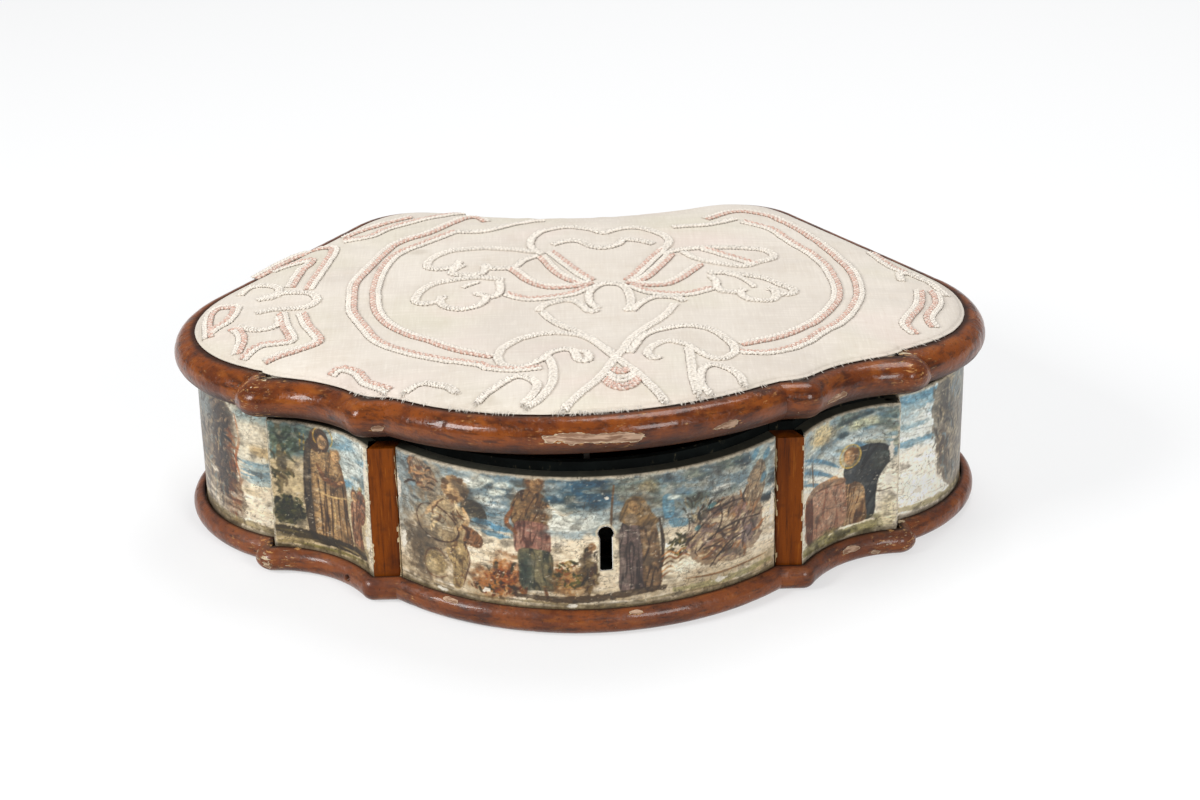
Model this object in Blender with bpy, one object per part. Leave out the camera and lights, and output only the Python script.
"""Serpentine sewing box with a padded, cloth-covered lid, built as separate pieces.

Units are metres, +Z is up and the front faces -Y. The plan of the box is one closed line of
arcs on the outer face of the walls, and every wall, liner, moulding and board is set off from it.
"""

import math
from collections import namedtuple

import bmesh
import bpy
from mathutils import Matrix, Vector

# Clearances
FIT_GAP = 0.0003
HOLE_CLEARANCE = 0.0003
CUT_OVERRUN = 0.002
WELD_DISTANCE = 0.000001

# Plan on the outer face of the walls
FRONT_REACH = 0.1335
BACK_REACH = 0.1335
BOW_HALF_WIDTH = 0.082
BOW_RISE = 0.034
POST_WIDTH = 0.012
WING_RUN = 0.046
WING_FALL = 0.031
WING_HOLLOW = 0.007
STEP_DEPTH = 0.0082
END_RADIUS = 0.061
END_INSET = 0.024
LOBE_RADIUS = 0.030
LOBE_CENTRE_X = 0.080
HOLLOW_DEPTH = 0.015

# Box body
BOTTOM_THICKNESS = 0.008
RIM_HEIGHT = 0.073
WALL_THICKNESS = 0.007
POST_PROUD = 0.0008
LINER_THICKNESS = 0.003
LINER_PROUD = 0.004
BASE_MOULDING_HEIGHT = 0.011
BASE_MOULDING_PROUD = 0.0062
NOSE_REACH_SHARE = 1.4

# Lid
LID_SEAT_GAP = 0.0003
LID_OVERHANG = 0.0088
LID_MOULDING_HEIGHT = 0.017
LID_MOULDING_INSET = 0.0015
LID_EDGE_THICKNESS = 0.011
LIP_CLEARANCE = 0.0005
LID_BOW = 0.012
LID_BOW_POWER_SHARE = 1.7
LID_TWIST = 0.005
PADDING_CROWN = 0.006
PADDING_EDGE_HEIGHT = 0.0028
PADDING_EDGE_INSET = 0.0006
COVER_THICKNESS = 0.0008
COVER_OVERLAP = 0.0007

# Keyhole
KEYHOLE_TOP_BELOW_RIM = 0.0232
KEYHOLE_HEIGHT = 0.0208
KEYHOLE_ROUND_RADIUS = 0.0033
KEYHOLE_SLOT_WIDTH = 0.0052
KEYHOLE_OFF_CENTRE = 0.0072

# Hinges
HINGE_X = 0.078
HINGE_RADIUS = 0.0025
HINGE_PIN_RADIUS = 0.0009
HINGE_PIN_CLEARANCE = 0.0003
HINGE_WIDTH = 0.014
HINGE_KNUCKLE_GAP = 0.0004
HINGE_RECESS_CLEARANCE = 0.0006
HINGE_JOIN_INSET = 0.0002
LEAF_THICKNESS = 0.0012
BOX_LEAF_LENGTH = 0.026
LID_LEAF_REACH = 0.0065
PIN_HEAD_RADIUS = 0.0014
PIN_HEAD_LENGTH = 0.0008

# Nails
NAIL_SHANK_RADIUS = 0.0007
NAIL_HEAD_RADIUS = 0.0016
NAIL_HEAD_HEIGHT = 0.0007
NAIL_TIP_LENGTH = 0.0012
BOX_NAIL_LENGTH = 0.0055
BOX_NAIL_FIRST_DROP = 0.009
BOX_NAIL_PITCH = 0.010
LID_NAIL_LENGTH = 0.0075
LID_NAIL_SPACING = 0.0072
LOCK_NAIL_LENGTH = 0.0075

# Lock
LOCK_HALF_WIDTH = 0.020
LOCK_TOP_BELOW_RIM = 0.003
LOCK_HEIGHT = 0.044
LOCK_PLATE_THICKNESS = 0.0015
LOCK_FLANGE_REACH = 0.0115
LOCK_NAIL_INSET = 0.003
BOLT_LENGTH = 0.0165
BOLT_THICKNESS = 0.0025
BOLT_HEIGHT = 0.005
BOLT_BELOW_FLANGE = 0.0015
BOLT_TRAVEL = 0.006
BOLT_STAND_OFF = 0.0006
BOLT_HEAD_GAP = 0.0005
TALON_WIDTH = 0.004
TALON_LENGTH = 0.009
TALON_STAPLE_GAP = 0.0005
GUIDE_LENGTH = 0.006
STRIKE_LENGTH = 0.003
GUIDE_WALL = 0.0015
CAP_WIDTH = 0.024
CAP_HEIGHT = 0.0185
CAP_THICKNESS = 0.0012
CAP_STAND_OFF = 0.0085
KEY_PIN_RADIUS = 0.001
KEY_PIN_PROUD = 0.0005
SPRING_THICKNESS = 0.0005
SPRING_WIDTH = 0.0022
SPRING_RISE = 0.0022

# Lid staple
STAPLE_THICKNESS = 0.0025
STAPLE_WIDTH = 0.0075
STAPLE_BELOW_BOLT = 0.003
STAPLE_EYE_CLEARANCE = 0.0012
STAPLE_PRONG_WIDTH = 0.0032
STAPLE_PRONG_LENGTH = 0.0045
STAPLE_SHOULDER_GAP = 0.0008

# Steps along the round stretches
BOW_STEPS = 14
WING_STEPS = 5
END_STEPS = 9
FLANK_STEPS = 3
LOBE_STEPS = 6
HOLLOW_STEPS = 8
NOSE_STEPS = 5
ROUND_SIDES = 16
NAIL_SIDES = 10
MOULDING_STEPS = 8

# Rings of the boards and of the padding, as shares of the way out from the middle
BOARD_RING_SHARES = (0.25, 0.5, 0.75)
CUSHION_RING_SHARES = (0.35, 0.65, 0.85, 0.94, 0.985)
CUSHION_ROUNDING_SHARE = 5.0
CUSHION_TUCK_SHARE = 24.0

# Angles past which an edge is shaded sharp
MOULDING_SHARP_ANGLE = math.radians(35)
CUSHION_SHARP_ANGLE = math.radians(60)

# Sizes worked out from those above
LID_UNDERSIDE = RIM_HEIGHT + LID_SEAT_GAP
LID_FIELD_UNDERSIDE = RIM_HEIGHT + LINER_PROUD + LIP_CLEARANCE
LID_BOARD_TOP = LID_UNDERSIDE + LID_EDGE_THICKNESS
LID_MOULDING_TOP = LID_UNDERSIDE + LID_MOULDING_HEIGHT
LINER_OUTSET = -(WALL_THICKNESS + FIT_GAP)
LINER_INSET = LINER_OUTSET - LINER_THICKNESS
WALL_FOOT = BOTTOM_THICKNESS + FIT_GAP
POST_INNER_X = BOW_HALF_WIDTH
POST_OUTER_X = BOW_HALF_WIDTH + POST_WIDTH
POST_Y = -FRONT_REACH + BOW_RISE
ARRIS_X = POST_OUTER_X + WING_RUN
ARRIS_Y = POST_Y + WING_FALL
STEP_END_Y = ARRIS_Y + STEP_DEPTH
END_CENTRE_X = ARRIS_X - END_INSET
END_CENTRE_Y = STEP_END_Y + math.sqrt(END_RADIUS**2 - END_INSET**2)
LOBE_CENTRE_Y = BACK_REACH - LOBE_RADIUS
PIVOT_Y = BACK_REACH + FIT_GAP + HINGE_RADIUS
PIVOT_Z = LID_UNDERSIDE
KEYHOLE_TOP = RIM_HEIGHT - KEYHOLE_TOP_BELOW_RIM
KEYHOLE_ROUND_Z = KEYHOLE_TOP - KEYHOLE_ROUND_RADIUS
KEYHOLE_BOTTOM = KEYHOLE_TOP - KEYHOLE_HEIGHT

Station = namedtuple("Station", "x y heading_in heading_out")

MATERIALS = {
    "painted_gesso": ((0.42, 0.40, 0.33), 0.45, 0.0),
    "red_brown_lacquer": ((0.27, 0.075, 0.022), 0.28, 0.0),
    "dark_green_paint": ((0.018, 0.030, 0.026), 0.55, 0.0),
    "plain_wood": ((0.30, 0.19, 0.10), 0.65, 0.0),
    "cream_linen": ((0.66, 0.58, 0.48), 0.85, 0.0),
    "padding": ((0.62, 0.56, 0.45), 0.95, 0.0),
    "dark_iron": ((0.06, 0.055, 0.05), 0.5, 0.9),
}


def clear_scene():
    """Remove every object that is in the scene."""
    for thing in list(bpy.data.objects):
        bpy.data.objects.remove(thing, do_unlink=True)


def make_collection(name):
    """Make a collection and link it to the scene."""
    collection = bpy.data.collections.new(name)
    bpy.context.scene.collection.children.link(collection)
    return collection


def make_material(name, kind):
    """Make one piece's own material from a named kind of surface."""
    colour, roughness, metallic = MATERIALS[kind]
    material = bpy.data.materials.new(name)
    material.use_nodes = True
    shader = material.node_tree.nodes["Principled BSDF"]
    shader.inputs["Base Color"].default_value = (*colour, 1.0)
    shader.inputs["Roughness"].default_value = roughness
    shader.inputs["Metallic"].default_value = metallic
    return material


def add_piece(name, mesh, kind, parent, smooth_angle=None):
    """Add a mesh as a named piece with its own material, carried by its parent empty."""
    piece = bpy.data.objects.new(name, mesh)
    PIECES.objects.link(piece)
    mesh.materials.clear()
    mesh.materials.append(make_material(name, kind))
    if smooth_angle is not None:
        mesh.shade_smooth()
        mesh.set_sharp_from_angle(angle=smooth_angle)
    carry(piece, parent)
    return piece


def carry(piece, parent):
    """Parent a piece to an empty and keep it where it is."""
    piece.parent = parent
    piece.matrix_parent_inverse = Matrix.Translation(-parent.location)


def add_cutter(name, mesh):
    """Add a mesh as a cutter that is neither rendered nor built."""
    cutter = bpy.data.objects.new(name, mesh)
    CUTTERS.objects.link(cutter)
    cutter.hide_render = True
    cutter.display_type = "WIRE"
    return cutter


def boolean(piece, other, operation="DIFFERENCE"):
    """Join another object to a piece, or cut the piece with it."""
    modifier = piece.modifiers.new(operation.lower(), "BOOLEAN")
    modifier.operation = operation
    modifier.solver = "EXACT"
    modifier.object = other


# Lines of stations along the plan


def outward(heading):
    """Give the unit vector to the right of a heading, which points out of the box."""
    return math.sin(heading), -math.cos(heading)


def straight(start, end, steps):
    """Give stations along a straight stretch."""
    heading = math.atan2(end[1] - start[1], end[0] - start[0])
    stations = []
    for step in range(steps + 1):
        share = step / steps
        x = start[0] + (end[0] - start[0]) * share
        y = start[1] + (end[1] - start[1]) * share
        stations.append(Station(x, y, heading, heading))
    return stations


def arc_about(centre, radius, first_heading, last_heading, steps):
    """Give stations round a centre; the line turns left where last_heading is the larger."""
    side = 1.0 if last_heading > first_heading else -1.0
    stations = []
    for step in range(steps + 1):
        heading = first_heading + (last_heading - first_heading) * step / steps
        out_x, out_y = outward(heading)
        x = centre[0] + side * radius * out_x
        y = centre[1] + side * radius * out_y
        stations.append(Station(x, y, heading, heading))
    return stations


def arc_between(start, end, swell, steps):
    """Give stations on the arc between two points, swelling outward or, if negative, hollow."""
    half_chord = math.dist(start, end) / 2
    depth = abs(swell)
    side = 1.0 if swell > 0 else -1.0
    radius = (half_chord**2 + depth**2) / (2 * depth)
    half_turn = side * math.asin(min(half_chord / radius, 1.0))
    chord_heading = math.atan2(end[1] - start[1], end[0] - start[0])
    out_x, out_y = outward(chord_heading - half_turn)
    centre = (start[0] - side * radius * out_x, start[1] - side * radius * out_y)
    return arc_about(centre, radius, chord_heading - half_turn, chord_heading + half_turn, steps)


def mirrored(stations):
    """Give the left-hand copy of a right-hand stretch, travelled the same way round."""
    return [Station(-s.x, s.y, -s.heading_out, -s.heading_in) for s in reversed(stations)]


def flank_heading():
    """Give the heading of the straight line that touches the round end and the back lobe."""
    span_x = LOBE_CENTRE_X - END_CENTRE_X
    span_y = LOBE_CENTRE_Y - END_CENTRE_Y
    turn = math.asin((END_RADIUS - LOBE_RADIUS) / math.hypot(span_x, span_y))
    return math.atan2(span_y, span_x) + turn


def hollow_radius():
    """Give the radius of the back hollow that runs smoothly out of both lobes."""
    rise = BACK_REACH - HOLLOW_DEPTH - LOBE_CENTRE_Y
    return (LOBE_CENTRE_X**2 + rise**2 - LOBE_RADIUS**2) / (2 * (LOBE_RADIUS - rise))


def right_stretches():
    """Give the stretches of the plan from the right-hand post to the back hollow."""
    post_start, post_end = (POST_INNER_X, POST_Y), (POST_OUTER_X, POST_Y)
    arris, step_end = (ARRIS_X, ARRIS_Y), (ARRIS_X, STEP_END_Y)
    end_centre, lobe_centre = (END_CENTRE_X, END_CENTRE_Y), (LOBE_CENTRE_X, LOBE_CENTRE_Y)
    end_start = math.atan2(END_INSET, END_CENTRE_Y - STEP_END_Y)
    flank = flank_heading()
    radius = hollow_radius()
    hollow_centre_y = BACK_REACH - HOLLOW_DEPTH + radius
    lobe_end = math.pi + math.atan2(LOBE_CENTRE_X, hollow_centre_y - LOBE_CENTRE_Y)
    round_end = arc_about(end_centre, END_RADIUS, end_start, flank, END_STEPS)
    lobe = arc_about(lobe_centre, LOBE_RADIUS, flank, lobe_end, LOBE_STEPS)
    flank_start = (round_end[-1].x, round_end[-1].y)
    flank_end = (lobe[0].x, lobe[0].y)
    hollow_end = 2 * math.pi - lobe_end
    return {
        "post": straight(post_start, post_end, 1),
        "wing": arc_between(post_end, arris, -WING_HOLLOW, WING_STEPS),
        "step": straight(arris, step_end, 1),
        "end": round_end,
        "flank": straight(flank_start, flank_end, FLANK_STEPS),
        "lobe": lobe,
        "hollow": arc_about((0, hollow_centre_y), radius, lobe_end, hollow_end, HOLLOW_STEPS),
    }


def joined(stretches):
    """Join stretches end to end; a shared point keeps both of its headings."""
    line = []
    for stretch in stretches:
        if line:
            meeting = line.pop()
            line.append(Station(meeting.x, meeting.y, meeting.heading_in, stretch[0].heading_out))
            line.extend(stretch[1:])
        else:
            line.extend(stretch)
    return line


def plan_line():
    """Give the closed plan from the left end of the bow round to the left post, with its marks."""
    right = right_stretches()
    bow_start, bow_end = (-BOW_HALF_WIDTH, POST_Y), (BOW_HALF_WIDTH, POST_Y)
    bow = arc_between(bow_start, bow_end, BOW_RISE, BOW_STEPS)
    names = ["bow", "post", "wing", "step", "end", "flank", "lobe", "hollow"]
    order = [bow] + [right[name] for name in names[1:]]
    for name in ["lobe", "flank", "end", "step", "wing", "post"]:
        names.append(name + "_left")
        order.append(mirrored(right[name]))
    marks, count = {}, 0
    for name, stretch in zip(names, order):
        marks[name] = (count, count + len(stretch) - 1)
        count += len(stretch) - 1
    line = joined(order)
    closing = line.pop()
    line[0] = Station(line[0].x, line[0].y, closing.heading_in, line[0].heading_out)
    return line, marks


def run_between(first_name, last_name):
    """Give the plan's stations from the start of one named stretch to the end of another."""
    first, last = MARKS[first_name][0], MARKS[last_name][1]
    return [LINE[index % len(LINE)] for index in range(first, last + 1)]


def mitre(station):
    """Give the vector that sets a station off by one unit from both of its headings."""
    in_x, in_y = outward(station.heading_in)
    out_x, out_y = outward(station.heading_out)
    scale = 1 + in_x * out_x + in_y * out_y
    return (in_x + out_x) / scale, (in_y + out_y) / scale


def set_off(station, distance):
    """Give the point that lies a distance outside a station."""
    mitre_x, mitre_y = mitre(station)
    return station.x + distance * mitre_x, station.y + distance * mitre_y


def trimmed(stations, gap=FIT_GAP):
    """Draw both ends of a run back by half a gap along their headings."""
    first, last = stations[0], stations[-1]
    start = first._replace(
        x=first.x + math.cos(first.heading_out) * gap / 2,
        y=first.y + math.sin(first.heading_out) * gap / 2,
    )
    end = last._replace(
        x=last.x - math.cos(last.heading_in) * gap / 2,
        y=last.y - math.sin(last.heading_in) * gap / 2,
    )
    return [start] + stations[1:-1] + [end]


# Meshes


def outline_mesh(name, outlines, low, high):
    """Fill flat outlines, the first outside and the rest holes, and raise them from low to high."""
    curve = bpy.data.curves.new(name, "CURVE")
    curve.dimensions = "2D"
    curve.fill_mode = "BOTH"
    curve.extrude = (high - low) / 2
    for outline in outlines:
        spline = curve.splines.new("POLY")
        spline.points.add(len(outline) - 1)
        for point, (x, y) in zip(spline.points, outline):
            point.co = (x, y, 0, 1)
        spline.use_cyclic_u = True
    return mesh_of_curve(curve, Matrix.Translation((0, 0, (low + high) / 2)))


def mesh_of_curve(curve, placement):
    """Turn a curve into a welded mesh that is moved to its place."""
    holder = bpy.data.objects.new(curve.name, curve)
    bpy.context.scene.collection.objects.link(holder)
    bpy.context.view_layer.update()
    evaluated = holder.evaluated_get(bpy.context.evaluated_depsgraph_get())
    mesh = bpy.data.meshes.new_from_object(evaluated)
    bpy.data.objects.remove(holder, do_unlink=True)
    bpy.data.curves.remove(curve)
    weld(mesh)
    mesh.transform(placement)
    return mesh


def weld(mesh):
    """Merge the doubled points of a mesh and turn its faces outward."""
    shape = bmesh.new()
    shape.from_mesh(mesh)
    bmesh.ops.remove_doubles(shape, verts=shape.verts, dist=WELD_DISTANCE)
    bmesh.ops.recalc_face_normals(shape, faces=shape.faces)
    shape.to_mesh(mesh)
    shape.free()


def box_mesh(name, low, high):
    """Make a box between two corners."""
    shape = bmesh.new()
    bmesh.ops.create_cube(shape, size=1.0)
    size = [b - a for a, b in zip(low, high)]
    middle = [(a + b) / 2 for a, b in zip(low, high)]
    bmesh.ops.scale(shape, vec=size, verts=shape.verts)
    bmesh.ops.translate(shape, vec=middle, verts=shape.verts)
    mesh = bpy.data.meshes.new(name)
    shape.to_mesh(mesh)
    shape.free()
    return mesh


def rod_mesh(name, radius, start, end, sides=ROUND_SIDES):
    """Make a round rod from one point to another."""
    start, end = Vector(start), Vector(end)
    along = end - start
    shape = bmesh.new()
    bmesh.ops.create_cone(
        shape, cap_ends=True, segments=sides, radius1=radius, radius2=radius, depth=along.length
    )
    turn = Vector((0, 0, 1)).rotation_difference(along).to_matrix().to_4x4()
    shape.transform(Matrix.Translation((start + end) / 2) @ turn)
    mesh = bpy.data.meshes.new(name)
    shape.to_mesh(mesh)
    shape.free()
    return mesh


def moulding_profile(height, proud, inner):
    """Give a half-round moulding's section as (outward, up) points, from its bottom to its top."""
    radius = height / 2
    middle = max(proud - radius, inner + FIT_GAP)
    points = [(inner, 0)]
    for step in range(MOULDING_STEPS + 1):
        angle = math.pi * step / MOULDING_STEPS - math.pi / 2
        points.append((middle + (proud - middle) * math.cos(angle), radius + radius * math.sin(angle)))
    points.append((inner, height))
    return points


def nose_reach(station):
    """Give how many times its usual reach a moulding has at a station: more towards a wing's arris."""
    away = math.dist((abs(station.x), station.y), (ARRIS_X, ARRIS_Y))
    return 1 + (NOSE_REACH_SHARE - 1) * max(1 - away / WING_RUN, 0) ** 2


def nosed(stations):
    """Fan out the sections at each outer corner, so that the moulding turns a round nose there.

    Each entry is a station's place, the vector for its outer points and the one for its inner points.
    """
    sections = []
    for station in stations:
        turn = station.heading_out - station.heading_in
        corner = mitre(station)
        reach = nose_reach(station)
        outers = [corner]
        if turn > math.pi / ROUND_SIDES:
            outers = [outward(station.heading_in + turn * k / NOSE_STEPS) for k in range(NOSE_STEPS + 1)]
        for outer_x, outer_y in outers:
            sections.append(((station.x, station.y), (outer_x * reach, outer_y * reach), corner))
    return sections


def moulding_mesh(name, stations, profile, base, lift=None):
    """Loft a moulding's profile along a run of stations, raised by lift(x, y) where it is given."""
    shape = bmesh.new()
    loops = []
    for (x, y), outer, inner in nosed(stations):
        loop = []
        for index, (out, up) in enumerate(profile):
            way = inner if index in (0, len(profile) - 1) else outer
            px, py = x + way[0] * out, y + way[1] * out
            rise = lift(px, py) if lift else 0
            loop.append(shape.verts.new((px, py, base + up + rise)))
        loops.append(loop)
    for near, far in zip(loops, loops[1:]):
        for index in range(len(profile)):
            following = (index + 1) % len(profile)
            shape.faces.new((near[index], far[index], far[following], near[following]))
    shape.faces.new(loops[0])
    shape.faces.new(reversed(loops[-1]))
    mesh = bpy.data.meshes.new(name)
    shape.to_mesh(mesh)
    shape.free()
    weld(mesh)
    return mesh


def ring_mesh(name, rings, crown, floor):
    """Loft closed rings of points from a middle point above to a middle point below."""
    shape = bmesh.new()
    top = shape.verts.new(crown)
    bottom = shape.verts.new(floor)
    loops = [[shape.verts.new(point) for point in ring] for ring in rings]
    count = len(loops[0])
    for index in range(count):
        following = (index + 1) % count
        shape.faces.new((top, loops[0][index], loops[0][following]))
        shape.faces.new((bottom, loops[-1][following], loops[-1][index]))
        for upper, lower in zip(loops, loops[1:]):
            shape.faces.new((upper[index], lower[index], lower[following], upper[following]))
    bmesh.ops.recalc_face_normals(shape, faces=shape.faces)
    mesh = bpy.data.meshes.new(name)
    shape.to_mesh(mesh)
    shape.free()
    return mesh


def lid_lift(x, y):
    """Give how far the warped lid stands above its flat place at a point."""
    share = max(-y / FRONT_REACH, 0) ** LID_BOW_POWER_SHARE
    return (LID_BOW + LID_TWIST * x / (END_CENTRE_X + END_RADIUS)) * share


def plan_ring(distance, share, height):
    """Give the lid's plan set off by a distance, drawn to a share of its size, at a height."""
    ring = []
    for station in LINE:
        x, y = set_off(station, distance)
        x, y = x * share, y * share
        ring.append((x, y, height + lid_lift(x, y)))
    return ring


# Box body


def strip(name, stations, outset, inset, low, high):
    """Make an upright board that follows a run of the plan between two set-off lines."""
    run = trimmed(stations)
    outer = [set_off(station, outset) for station in run]
    inner = [set_off(station, inset) for station in reversed(run)]
    return outline_mesh(name, [outer + inner], low, high)


def build_bottom(parent):
    """Make the bottom board that the walls stand on."""
    outline = [set_off(station, POST_PROUD) for station in LINE]
    mesh = outline_mesh("bottom_board", [outline], 0, BOTTOM_THICKNESS)
    add_piece("bottom_board", mesh, "plain_wood", parent)


def build_walls(parent):
    """Make the painted walls and the two posts, mitred to each other."""
    runs = {
        "front_panel": ("bow", "bow"),
        "wing_panel_right": ("wing", "wing"),
        "end_panel_right": ("step", "flank"),
        "back_panel": ("lobe", "lobe_left"),
        "end_panel_left": ("flank_left", "step_left"),
        "wing_panel_left": ("wing_left", "wing_left"),
    }
    walls = {}
    for name, (first, last) in runs.items():
        mesh = strip(name, run_between(first, last), 0, -WALL_THICKNESS, WALL_FOOT, RIM_HEIGHT)
        walls[name] = add_piece(name, mesh, "painted_gesso", parent)
    for name, stretch in (("post_right", "post"), ("post_left", "post_left")):
        run = trimmed(run_between(stretch, stretch))
        outer = [(station.x, station.y - POST_PROUD) for station in run]
        inner = [set_off(station, -WALL_THICKNESS) for station in reversed(run)]
        mesh = outline_mesh(name, [outer + inner], WALL_FOOT, RIM_HEIGHT)
        walls[name] = add_piece(name, mesh, "red_brown_lacquer", parent)
    return walls


def build_liners(parent):
    """Make the liner boards, whose tops stand proud of the rim and locate the lid."""
    runs = {
        "liner_front": ("bow", "bow"),
        "liner_wing_right": ("post", "wing"),
        "liner_end_right": ("step", "flank"),
        "liner_back": ("lobe", "lobe_left"),
        "liner_end_left": ("flank_left", "step_left"),
        "liner_wing_left": ("wing_left", "post_left"),
    }
    top = RIM_HEIGHT + LINER_PROUD
    liners = {}
    for name, (first, last) in runs.items():
        mesh = strip(name, run_between(first, last), LINER_OUTSET, LINER_INSET, WALL_FOOT, top)
        liners[name] = add_piece(name, mesh, "dark_green_paint", parent)
    return liners


MOULDING_RUNS = {
    "front": ("bow", "bow"),
    "wing_right": ("post", "step"),
    "end_right": ("end", "flank"),
    "back": ("lobe", "lobe_left"),
    "end_left": ("flank_left", "end_left"),
    "wing_left": ("step_left", "post_left"),
}


def build_base_mouldings(parent):
    """Make the half-round moulding round the foot in six lengths."""
    profile = moulding_profile(BASE_MOULDING_HEIGHT, BASE_MOULDING_PROUD, POST_PROUD + FIT_GAP)
    for name, (first, last) in MOULDING_RUNS.items():
        full_name = "base_moulding_" + name
        mesh = moulding_mesh(full_name, trimmed(run_between(first, last)), profile, 0)
        add_piece(full_name, mesh, "red_brown_lacquer", parent, MOULDING_SHARP_ANGLE)


# Lid


def build_lid_board(parent):
    """Make the lid board, thick at its edge and thinner inside the liner's proud lip."""
    edge = -(LID_MOULDING_INSET + FIT_GAP)
    lip = LINER_OUTSET + LIP_CLEARANCE
    top = [plan_ring(edge, share, LID_BOARD_TOP) for share in BOARD_RING_SHARES]
    top.append(plan_ring(edge, 1.0, LID_BOARD_TOP))
    under = [plan_ring(edge, 1.0, LID_UNDERSIDE), plan_ring(lip, 1.0, LID_UNDERSIDE)]
    under.append(plan_ring(lip, 1.0, LID_FIELD_UNDERSIDE))
    under += [plan_ring(lip, share, LID_FIELD_UNDERSIDE) for share in reversed(BOARD_RING_SHARES)]
    middle_lift = lid_lift(0, 0)
    crown = (0, 0, LID_BOARD_TOP + middle_lift)
    floor = (0, 0, LID_FIELD_UNDERSIDE + middle_lift)
    mesh = ring_mesh("lid_board", top + under, crown, floor)
    return add_piece("lid_board", mesh, "plain_wood", parent)


def build_lid_mouldings(parent):
    """Make the half-round moulding round the lid in six lengths."""
    profile = moulding_profile(LID_MOULDING_HEIGHT, LID_OVERHANG, -LID_MOULDING_INSET)
    mouldings = {}
    for name, (first, last) in MOULDING_RUNS.items():
        full_name = "lid_moulding_" + name
        run = trimmed(run_between(first, last))
        mesh = moulding_mesh(full_name, run, profile, LID_UNDERSIDE, lid_lift)
        moulding = add_piece(full_name, mesh, "red_brown_lacquer", parent, MOULDING_SHARP_ANGLE)
        mouldings[name] = moulding
    return mouldings


def cushion_height(share):
    """Give how high the padding's crown stands at a share of the way out from the middle."""
    return PADDING_CROWN * (1 - share**CUSHION_ROUNDING_SHARE)


def build_padding(parent):
    """Make the crowned padding on the lid board, its sides drawn in under the cloth."""
    edge = -(LID_MOULDING_INSET + FIT_GAP + PADDING_EDGE_INSET)
    foot = LID_BOARD_TOP + FIT_GAP
    brow = LID_MOULDING_TOP - PADDING_EDGE_HEIGHT
    rings = []
    for share in CUSHION_RING_SHARES:
        tuck = PADDING_EDGE_HEIGHT * share**CUSHION_TUCK_SHARE
        rings.append(plan_ring(edge, share, LID_MOULDING_TOP + cushion_height(share) - tuck))
    rings.append(plan_ring(edge, 1.0, brow))
    rings.append(plan_ring(edge, CUSHION_RING_SHARES[-1], foot))
    rings += [plan_ring(edge, share, foot) for share in reversed(BOARD_RING_SHARES)]
    crown = (0, 0, LID_MOULDING_TOP + PADDING_CROWN)
    mesh = ring_mesh("lid_padding", rings, crown, (0, 0, foot))
    add_piece("lid_padding", mesh, "padding", parent, CUSHION_SHARP_ANGLE)


def build_cover(parent):
    """Make the cloth cover that is drawn over the padding and down on to the moulding."""
    edge = -(LID_MOULDING_INSET + FIT_GAP + PADDING_EDGE_INSET)
    outer = COVER_OVERLAP - LID_MOULDING_INSET
    under_gap, over_gap = FIT_GAP, FIT_GAP + COVER_THICKNESS
    over, under = [], []
    for share in CUSHION_RING_SHARES:
        height = LID_MOULDING_TOP + cushion_height(share)
        over.append(plan_ring(edge, share, height + over_gap))
        under.append(plan_ring(edge, share, height + under_gap))
    over.append(plan_ring(edge, 1.0, LID_MOULDING_TOP + over_gap))
    under.append(plan_ring(edge, 1.0, LID_MOULDING_TOP + under_gap))
    over.append(plan_ring(outer, 1.0, LID_MOULDING_TOP + over_gap))
    under.append(plan_ring(outer, 1.0, LID_MOULDING_TOP + under_gap))
    peak = LID_MOULDING_TOP + PADDING_CROWN
    rings = over + list(reversed(under))
    mesh = ring_mesh("lid_cover", rings, (0, 0, peak + over_gap), (0, 0, peak + under_gap))
    add_piece("lid_cover", mesh, "cream_linen", parent, CUSHION_SHARP_ANGLE)


# Nails


def nail_mesh(name, length, place, direction):
    """Turn a nail about its own axis, with its head's underside at place and its tip along direction."""
    profile = [
        (0, NAIL_HEAD_HEIGHT),
        (NAIL_HEAD_RADIUS / 2, NAIL_HEAD_HEIGHT),
        (NAIL_HEAD_RADIUS, 0),
        (NAIL_SHANK_RADIUS, 0),
        (NAIL_SHANK_RADIUS, NAIL_TIP_LENGTH - length),
        (0, -length),
    ]
    shape = bmesh.new()
    points = [shape.verts.new((x, 0, z)) for x, z in profile]
    edges = [shape.edges.new(pair) for pair in zip(points, points[1:])]
    bmesh.ops.spin(
        shape, geom=points + edges, cent=(0, 0, 0), axis=(0, 0, 1), angle=2 * math.pi,
        steps=NAIL_SIDES, use_merge=True,
    )
    turn = Vector((0, 0, -1)).rotation_difference(Vector(direction)).to_matrix().to_4x4()
    shape.transform(Matrix.Translation(place) @ turn)
    mesh = bpy.data.meshes.new(name)
    shape.to_mesh(mesh)
    shape.free()
    weld(mesh)
    return mesh


def build_nail(name, length, place, direction, parent, drilled, sunk_in=None):
    """Make a nail, cut its hole in each piece it goes through, and sink its head where asked."""
    place, direction = Vector(place), Vector(direction).normalized()
    add_piece(name, nail_mesh(name, length, place, direction), "dark_iron", parent)
    start = place - direction * CUT_OVERRUN
    end = place + direction * (length + HOLE_CLEARANCE)
    radius = NAIL_SHANK_RADIUS + HOLE_CLEARANCE
    cutter = add_cutter("cut_" + name, rod_mesh("cut_" + name, radius, start, end, NAIL_SIDES))
    for piece in drilled:
        boolean(piece, cutter)
    if sunk_in:
        sink_name = "sink_" + name
        radius = NAIL_HEAD_RADIUS + HOLE_CLEARANCE
        sink = rod_mesh(sink_name, radius, start, place + direction * FIT_GAP / 2, NAIL_SIDES)
        boolean(sunk_in, add_cutter(sink_name, sink))


# Hinges


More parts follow.
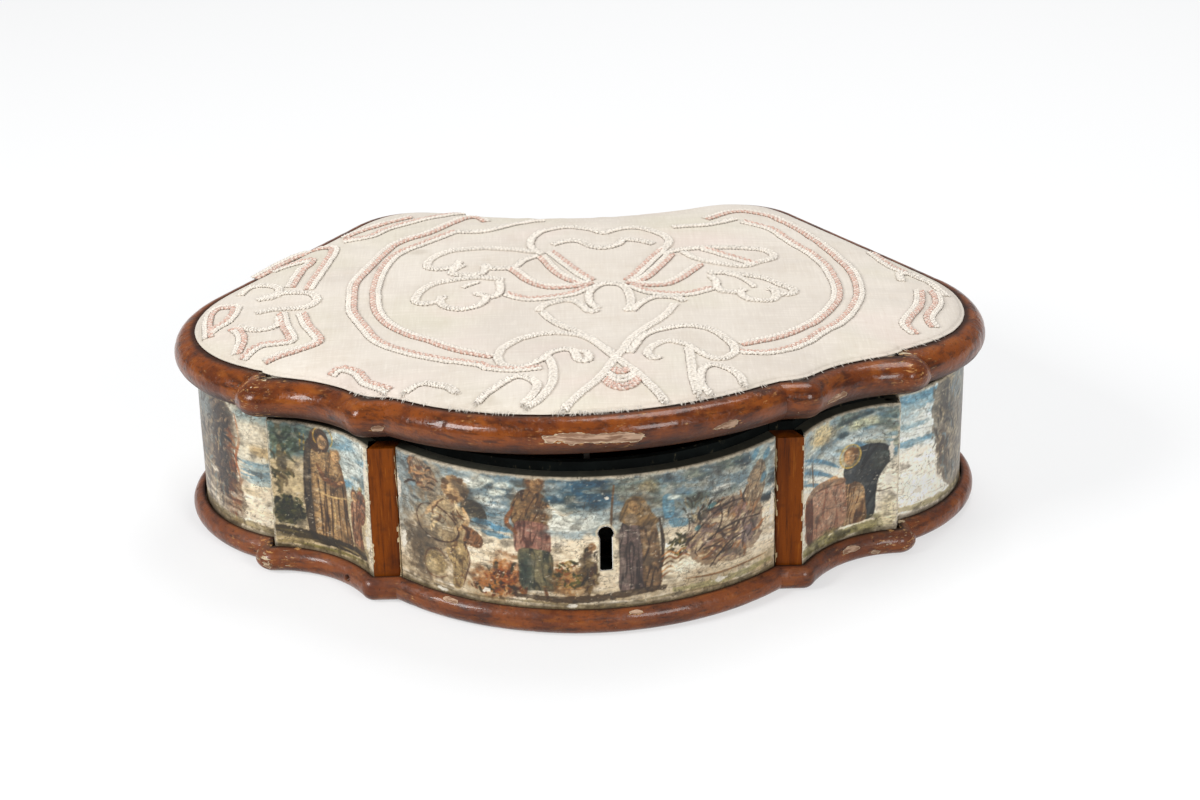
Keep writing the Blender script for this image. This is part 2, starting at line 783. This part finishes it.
def knuckle_spans():
    """Give the three knuckles' ends along the hinge, from its left end to its right."""
    width = HINGE_WIDTH - 2 * HINGE_JOIN_INSET
    knuckle = (width - 2 * HINGE_KNUCKLE_GAP) / 3
    spans = []
    for index in range(3):
        start = -width / 2 + index * (knuckle + HINGE_KNUCKLE_GAP)
        spans.append((start, start + knuckle))
    return spans


def add_knuckles(leaf, label, x, spans, stem_low, stem_high):
    """Join knuckles to a leaf, each on a stem between two (y, z) corners.

    Each stem is drawn in a little from the faces of the leaf and the knuckle that it joins.
    """
    inset = HINGE_JOIN_INSET
    for index, (start, end) in enumerate(spans):
        stem_name = f"stem_{label}_{index}"
        low = (x + start + inset, stem_low[0] + inset, stem_low[1] + inset)
        high = (x + end - inset, stem_high[0], stem_high[1] - inset)
        stem = box_mesh(stem_name, low, high)
        boolean(leaf, add_cutter(stem_name, stem), "UNION")
        name = f"knuckle_{label}_{index}"
        ends = (x + start, PIVOT_Y, PIVOT_Z), (x + end, PIVOT_Y, PIVOT_Z)
        boolean(leaf, add_cutter(name, rod_mesh(name, HINGE_RADIUS, *ends)), "UNION")


def build_hinge(side, x, base, lid, back_panel, lid_parts):
    """Make one hinge at the back, let into the back panel and into the lid's underside."""
    left, middle, right = knuckle_spans()
    half = HINGE_WIDTH / 2
    plate_front = BACK_REACH - LEAF_THICKNESS
    bore_radius = HINGE_PIN_RADIUS + HINGE_PIN_CLEARANCE
    ends = (x - half - CUT_OVERRUN, PIVOT_Y, PIVOT_Z), (x + half + CUT_OVERRUN, PIVOT_Y, PIVOT_Z)
    bore = add_cutter("bore_" + side, rod_mesh("bore_" + side, bore_radius, *ends))

    name = "hinge_box_leaf_" + side
    low, high = (x - half, plate_front, PIVOT_Z - BOX_LEAF_LENGTH), (x + half, BACK_REACH, PIVOT_Z)
    box_leaf = add_piece(name, box_mesh(name, low, high), "dark_iron", base)
    stem_low, stem_high = (plate_front, PIVOT_Z - HINGE_RADIUS), (PIVOT_Y, PIVOT_Z)
    add_knuckles(box_leaf, "box_" + side, x, (left, right), stem_low, stem_high)
    boolean(box_leaf, bore)

    name = "hinge_lid_leaf_" + side
    leaf_top = PIVOT_Z + LEAF_THICKNESS
    leaf_front = BACK_REACH - LID_LEAF_REACH
    low = (x - half, leaf_front, PIVOT_Z)
    high = (x + half, BACK_REACH - HINGE_RECESS_CLEARANCE, leaf_top)
    lid_leaf = add_piece(name, box_mesh(name, low, high), "dark_iron", lid)
    stem_low, stem_high = (leaf_front, PIVOT_Z), (PIVOT_Y, leaf_top)
    add_knuckles(lid_leaf, "lid_" + side, x, (middle,), stem_low, stem_high)
    boolean(lid_leaf, bore)

    build_pin(side, x, base)
    cut_hinge_seats(side, x, back_panel, lid_parts)
    for index in range(2):
        drop = BOX_NAIL_FIRST_DROP + index * BOX_NAIL_PITCH
        place = (x, BACK_REACH, PIVOT_Z - drop)
        name = f"hinge_nail_box_{side}_{index + 1}"
        build_nail(name, BOX_NAIL_LENGTH, place, (0, -1, 0), base, (box_leaf, back_panel))
    nail_y = (leaf_front + BACK_REACH - HINGE_RECESS_CLEARANCE) / 2
    for index, sign in enumerate((-1, 1)):
        name = f"hinge_nail_lid_{side}_{index + 1}"
        place = (x + sign * LID_NAIL_SPACING / 2, nail_y, PIVOT_Z + NAIL_HEAD_HEIGHT)
        drilled = (lid_leaf, *lid_parts)
        build_nail(name, LID_NAIL_LENGTH, place, (0, 0, 1), lid, drilled, sunk_in=lid_leaf)


def build_pin(side, x, base):
    """Make the hinge pin with a small head at each end."""
    half = HINGE_WIDTH / 2 + FIT_GAP
    name = "hinge_pin_" + side
    start, end = (x - half, PIVOT_Y, PIVOT_Z), (x + half, PIVOT_Y, PIVOT_Z)
    pin = add_piece(name, rod_mesh(name, HINGE_PIN_RADIUS, start, end), "dark_iron", base)
    for index, sign in enumerate((-1, 1)):
        head_name = f"head_{side}_{index}"
        inner = (x + sign * half, PIVOT_Y, PIVOT_Z)
        outer = (x + sign * (half + PIN_HEAD_LENGTH), PIVOT_Y, PIVOT_Z)
        head = rod_mesh(head_name, PIN_HEAD_RADIUS, inner, outer)
        boolean(pin, add_cutter(head_name, head), "UNION")


def cut_hinge_seats(side, x, back_panel, lid_parts):
    """Let the box leaf into the back panel, and the lid leaf and knuckles into the lid."""
    half = HINGE_WIDTH / 2 + HOLE_CLEARANCE
    seat_low = (x - half, BACK_REACH - LEAF_THICKNESS - FIT_GAP, PIVOT_Z - BOX_LEAF_LENGTH - FIT_GAP)
    seat_high = (x + half, BACK_REACH + CUT_OVERRUN, PIVOT_Z + CUT_OVERRUN)
    seat_name = "seat_box_" + side
    boolean(back_panel, add_cutter(seat_name, box_mesh(seat_name, seat_low, seat_high)))
    lid_low = (x - half, BACK_REACH - LID_LEAF_REACH - FIT_GAP, PIVOT_Z - CUT_OVERRUN)
    lid_high = (x + half, PIVOT_Y, PIVOT_Z + LEAF_THICKNESS + FIT_GAP)
    lid_name = "seat_lid_" + side
    lid_seat = add_cutter(lid_name, box_mesh(lid_name, lid_low, lid_high))
    reach = HINGE_WIDTH / 2 + FIT_GAP + PIN_HEAD_LENGTH + HINGE_RECESS_CLEARANCE
    recess_radius = HINGE_RADIUS + HINGE_RECESS_CLEARANCE
    recess_name = "recess_" + side
    recess = rod_mesh(
        recess_name, recess_radius, (x - reach, PIVOT_Y, PIVOT_Z), (x + reach, PIVOT_Y, PIVOT_Z)
    )
    recess_cutter = add_cutter(recess_name, recess)
    for piece in lid_parts:
        boolean(piece, lid_seat)
        boolean(piece, recess_cutter)


# Lock


def keyhole_cutter():
    """Make the keyhole's cutter, round at the top with a straight slot below it."""
    deep = -FRONT_REACH - CUT_OVERRUN
    near = lock_front_y() + LOCK_PLATE_THICKNESS + CUT_OVERRUN
    middle = KEYHOLE_OFF_CENTRE
    hole = rod_mesh(
        "keyhole", KEYHOLE_ROUND_RADIUS, (middle, deep, KEYHOLE_ROUND_Z), (middle, near, KEYHOLE_ROUND_Z)
    )
    keyhole = add_cutter("keyhole", hole)
    half = KEYHOLE_SLOT_WIDTH / 2
    slot = box_mesh(
        "keyhole_slot", (middle - half, deep, KEYHOLE_BOTTOM), (middle + half, near, KEYHOLE_ROUND_Z)
    )
    boolean(keyhole, add_cutter("keyhole_slot", slot), "UNION")
    return keyhole


def lock_front_y():
    """Give where the flat lock plate touches the liner's hollow inner face at its two edges."""
    half_chord = BOW_HALF_WIDTH
    bow_radius = (half_chord**2 + BOW_RISE**2) / (2 * BOW_RISE)
    inner_radius = bow_radius + LINER_INSET
    sag = inner_radius - math.sqrt(inner_radius**2 - LOCK_HALF_WIDTH**2)
    return -FRONT_REACH - LINER_INSET + sag + FIT_GAP


def build_lock(base, lid, walls, liners, lid_board):
    """Make the lock behind the keyhole and the staple that hangs from the lid into it."""
    front = lock_front_y()
    inner = front + LOCK_PLATE_THICKNESS
    top = RIM_HEIGHT - LOCK_TOP_BELOW_RIM
    bottom = top - LOCK_HEIGHT
    plate_low, plate_high = (-LOCK_HALF_WIDTH, front, bottom), (LOCK_HALF_WIDTH, inner, top)
    plate = add_piece("lock_plate", box_mesh("lock_plate", plate_low, plate_high), "dark_iron", base)
    flange_low = (-LOCK_HALF_WIDTH, front, top - LOCK_PLATE_THICKNESS)
    flange = box_mesh("lock_flange", flange_low, (LOCK_HALF_WIDTH, front + LOCK_FLANGE_REACH, top))
    boolean(plate, add_cutter("lock_flange", flange), "UNION")
    keyhole = keyhole_cutter()
    for piece in (plate, walls["front_panel"], liners["liner_front"]):
        boolean(piece, keyhole)

    bolt_low_y = inner + BOLT_STAND_OFF
    bolt_high_y = bolt_low_y + BOLT_THICKNESS
    bolt_top = top - LOCK_PLATE_THICKNESS - BOLT_BELOW_FLANGE
    bolt_bottom = bolt_top - BOLT_HEIGHT
    slot_x = STAPLE_THICKNESS / 2 + STAPLE_EYE_CLEARANCE
    head_x = slot_x + BOLT_HEAD_GAP
    talon_right = STAPLE_THICKNESS / 2 + TALON_STAPLE_GAP + BOLT_TRAVEL + TALON_WIDTH
    guide_left = talon_right + BOLT_HEAD_GAP
    build_bolt(head_x, talon_right, bolt_low_y, bolt_high_y, bolt_bottom, bolt_top)
    build_guides(plate, slot_x, guide_left, inner, bolt_low_y, bolt_high_y, bolt_bottom, bolt_top)
    build_spring(base, head_x, guide_left, bolt_low_y, bolt_top, top - LOCK_PLATE_THICKNESS)
    build_cap(base, inner, bolt_bottom)
    build_staple(lid, plate, lid_board, bolt_low_y, bolt_high_y, bolt_bottom, bolt_top)
    for index in range(4):
        sign_x = 1 if index % 2 else -1
        nail_x = sign_x * (LOCK_HALF_WIDTH - LOCK_NAIL_INSET)
        upper_z = bolt_bottom - GUIDE_WALL - LOCK_NAIL_INSET
        nail_z = bottom + LOCK_NAIL_INSET if index < 2 else upper_z
        name = f"lock_nail_{index + 1}"
        drilled = (plate, liners["liner_front"], walls["front_panel"])
        build_nail(name, LOCK_NAIL_LENGTH, (nail_x, inner, nail_z), (0, -1, 0), base, drilled)


def build_bolt(head_x, talon_right, low_y, high_y, bottom, top):
    """Make the sliding bolt with the talon that the key turns against."""
    body = box_mesh("lock_bolt", (head_x, low_y, bottom), (head_x + BOLT_LENGTH, high_y, top))
    bolt = add_piece("lock_bolt", body, "dark_iron", BOLT_SLIDE)
    talon_low = (talon_right - TALON_WIDTH, low_y, bottom - TALON_LENGTH)
    talon_high = (talon_right, high_y, bottom + BOLT_HEIGHT / 2)
    boolean(bolt, add_cutter("talon", box_mesh("talon", talon_low, talon_high)), "UNION")


def build_guides(plate, slot_x, guide_left, inner, low_y, high_y, bottom, top):
    """Add to the lock plate the bridge that the bolt slides in and the one that it is thrown into.

    The second one starts in the middle, and the slot for the staple trims it later.
    """
    spans = {
        "strike": (-slot_x - STRIKE_LENGTH, 0),
        "guide": (guide_left, guide_left + GUIDE_LENGTH),
    }
    for name, (left, right) in spans.items():
        low = (left, inner - LOCK_PLATE_THICKNESS / 2, bottom - GUIDE_WALL)
        high = (right, high_y + GUIDE_WALL, top + GUIDE_WALL / 2)
        boolean(plate, add_cutter(name, box_mesh(name, low, high)), "UNION")
    tunnel_low = (spans["strike"][0] - CUT_OVERRUN, low_y - FIT_GAP, bottom - FIT_GAP)
    tunnel_high = (spans["guide"][1] + CUT_OVERRUN, high_y + FIT_GAP, top + FIT_GAP)
    tunnel = add_cutter("bolt_tunnel", box_mesh("bolt_tunnel", tunnel_low, tunnel_high))
    boolean(plate, tunnel)


def build_spring(base, head_x, guide_left, low_y, bolt_top, ceiling):
    """Make the leaf spring that bears on the bolt between its head and its guide."""
    left = head_x + FIT_GAP
    right = guide_left - FIT_GAP
    rise = min(SPRING_RISE, ceiling - bolt_top - SPRING_THICKNESS - 2 * FIT_GAP)
    upper, lower = [], []
    for step in range(MOULDING_STEPS + 1):
        share = step / MOULDING_STEPS
        height = bolt_top + FIT_GAP + rise * (2 * share - 1) ** 2
        x = left + (right - left) * share
        lower.append((x, height))
        upper.append((x, height + SPRING_THICKNESS))
    outline = lower + list(reversed(upper))
    mesh = outline_mesh("lock_spring", [outline], 0, SPRING_WIDTH)
    stand = Matrix.Rotation(math.pi / 2, 4, "X")
    mesh.transform(Matrix.Translation((0, low_y + SPRING_WIDTH, 0)) @ stand)
    add_piece("lock_spring", mesh, "dark_iron", base)


def build_cap(base, inner, bolt_bottom):
    """Make the cap that bridges the key's space, and the pin that the key turns on."""
    cap_top = min(KEYHOLE_TOP, bolt_bottom - TALON_LENGTH - CAP_THICKNESS)
    cap_bottom = cap_top - CAP_HEIGHT
    middle = KEYHOLE_OFF_CENTRE
    left, right = middle - CAP_WIDTH / 2, middle + CAP_WIDTH / 2
    face_low, face_high = inner + CAP_STAND_OFF, inner + CAP_STAND_OFF + CAP_THICKNESS
    foot_y = inner + FIT_GAP
    foot_left, foot_right = left + CAP_THICKNESS, right - CAP_THICKNESS
    outline = [
        (left, foot_y), (foot_left, foot_y), (foot_left, face_low), (foot_right, face_low),
        (foot_right, foot_y), (right, foot_y), (right, face_high), (left, face_high),
    ]
    mesh = outline_mesh("lock_cap", [outline], cap_bottom, cap_top)
    cap = add_piece("lock_cap", mesh, "dark_iron", base)
    pin_z = min(KEYHOLE_ROUND_Z, cap_top - CAP_THICKNESS - KEY_PIN_RADIUS)
    pin_ends = (middle, inner - LOCK_PLATE_THICKNESS - KEY_PIN_PROUD, pin_z), (middle, face_high, pin_z)
    pin = rod_mesh("lock_key_pin", KEY_PIN_RADIUS, *pin_ends)
    add_piece("lock_key_pin", pin, "dark_iron", base)
    hole_end = (middle, face_high + CUT_OVERRUN, pin_z)
    hole = rod_mesh("pin_hole", KEY_PIN_RADIUS + HOLE_CLEARANCE, pin_ends[0], hole_end)
    boolean(cap, add_cutter("pin_hole", hole))


def build_staple(lid, plate, lid_board, bolt_low_y, bolt_high_y, bolt_bottom, bolt_top):
    """Make the flat staple whose prong is driven into the lid and whose eye takes the bolt."""
    middle_y = (bolt_low_y + bolt_high_y) / 2
    front, back = middle_y - STAPLE_WIDTH / 2, middle_y + STAPLE_WIDTH / 2
    shoulder = LID_FIELD_UNDERSIDE + lid_lift(0, back) - STAPLE_SHOULDER_GAP
    foot = bolt_bottom - STAPLE_BELOW_BOLT
    prong = STAPLE_PRONG_WIDTH / 2
    prong_top = LID_FIELD_UNDERSIDE + lid_lift(0, middle_y) + STAPLE_PRONG_LENGTH
    outline = [
        (front, foot), (back, foot), (back, shoulder), (middle_y + prong, shoulder),
        (middle_y + prong, prong_top), (middle_y - prong, prong_top),
        (middle_y - prong, shoulder), (front, shoulder),
    ]
    eye_front, eye_back = bolt_low_y - STAPLE_EYE_CLEARANCE, bolt_high_y + STAPLE_EYE_CLEARANCE
    eye_low, eye_high = bolt_bottom - STAPLE_EYE_CLEARANCE, bolt_top + STAPLE_EYE_CLEARANCE
    eye = [(eye_front, eye_low), (eye_back, eye_low), (eye_back, eye_high), (eye_front, eye_high)]
    mesh = outline_mesh("lid_staple", [outline, eye], -STAPLE_THICKNESS / 2, STAPLE_THICKNESS / 2)
    stand = Matrix(((0, 0, 1, 0), (1, 0, 0, 0), (0, 1, 0, 0), (0, 0, 0, 1)))
    mesh.transform(stand)
    add_piece("lid_staple", mesh, "dark_iron", lid)
    side = STAPLE_THICKNESS / 2 + STAPLE_EYE_CLEARANCE
    slot_low = (-side, front - STAPLE_EYE_CLEARANCE, foot - STAPLE_EYE_CLEARANCE)
    slot_high = (side, back + STAPLE_EYE_CLEARANCE, RIM_HEIGHT)
    boolean(plate, add_cutter("staple_slot", box_mesh("staple_slot", slot_low, slot_high)))
    hole_low = (-STAPLE_THICKNESS / 2 - HOLE_CLEARANCE, middle_y - prong - HOLE_CLEARANCE, shoulder)
    hole_high = (
        STAPLE_THICKNESS / 2 + HOLE_CLEARANCE, middle_y + prong + HOLE_CLEARANCE, prong_top + FIT_GAP,
    )
    boolean(lid_board, add_cutter("prong_hole", box_mesh("prong_hole", hole_low, hole_high)))


def build_box():
    """Build every piece of the box on its own empty: the body, the lid and the lock's bolt."""
    build_bottom(BOX_FRAME)
    walls = build_walls(BOX_FRAME)
    liners = build_liners(BOX_FRAME)
    build_base_mouldings(BOX_FRAME)
    lid_board = build_lid_board(LID_HINGE)
    mouldings = build_lid_mouldings(LID_HINGE)
    build_padding(LID_HINGE)
    build_cover(LID_HINGE)
    lid_parts = (lid_board, mouldings["back"])
    for side, x in (("left", -HINGE_X), ("right", HINGE_X)):
        build_hinge(side, x, BOX_FRAME, LID_HINGE, walls["back_panel"], lid_parts)
    build_lock(BOX_FRAME, LID_HINGE, walls, liners, lid_board)


def make_empty(name, place):
    """Make an empty that carries the pieces of one moving body."""
    empty = bpy.data.objects.new(name, None)
    empty.location = place
    PIECES.objects.link(empty)
    return empty


clear_scene()
PIECES = make_collection("sewing_box")
CUTTERS = make_collection("cutters")
BOX_FRAME = make_empty("box_frame", (0, 0, 0))
LID_HINGE = make_empty("lid_hinge", (0, PIVOT_Y, PIVOT_Z))
BOLT_SLIDE = make_empty("bolt_slide", (0, lock_front_y(), RIM_HEIGHT - LOCK_TOP_BELOW_RIM))
LINE, MARKS = plan_line()
build_box()
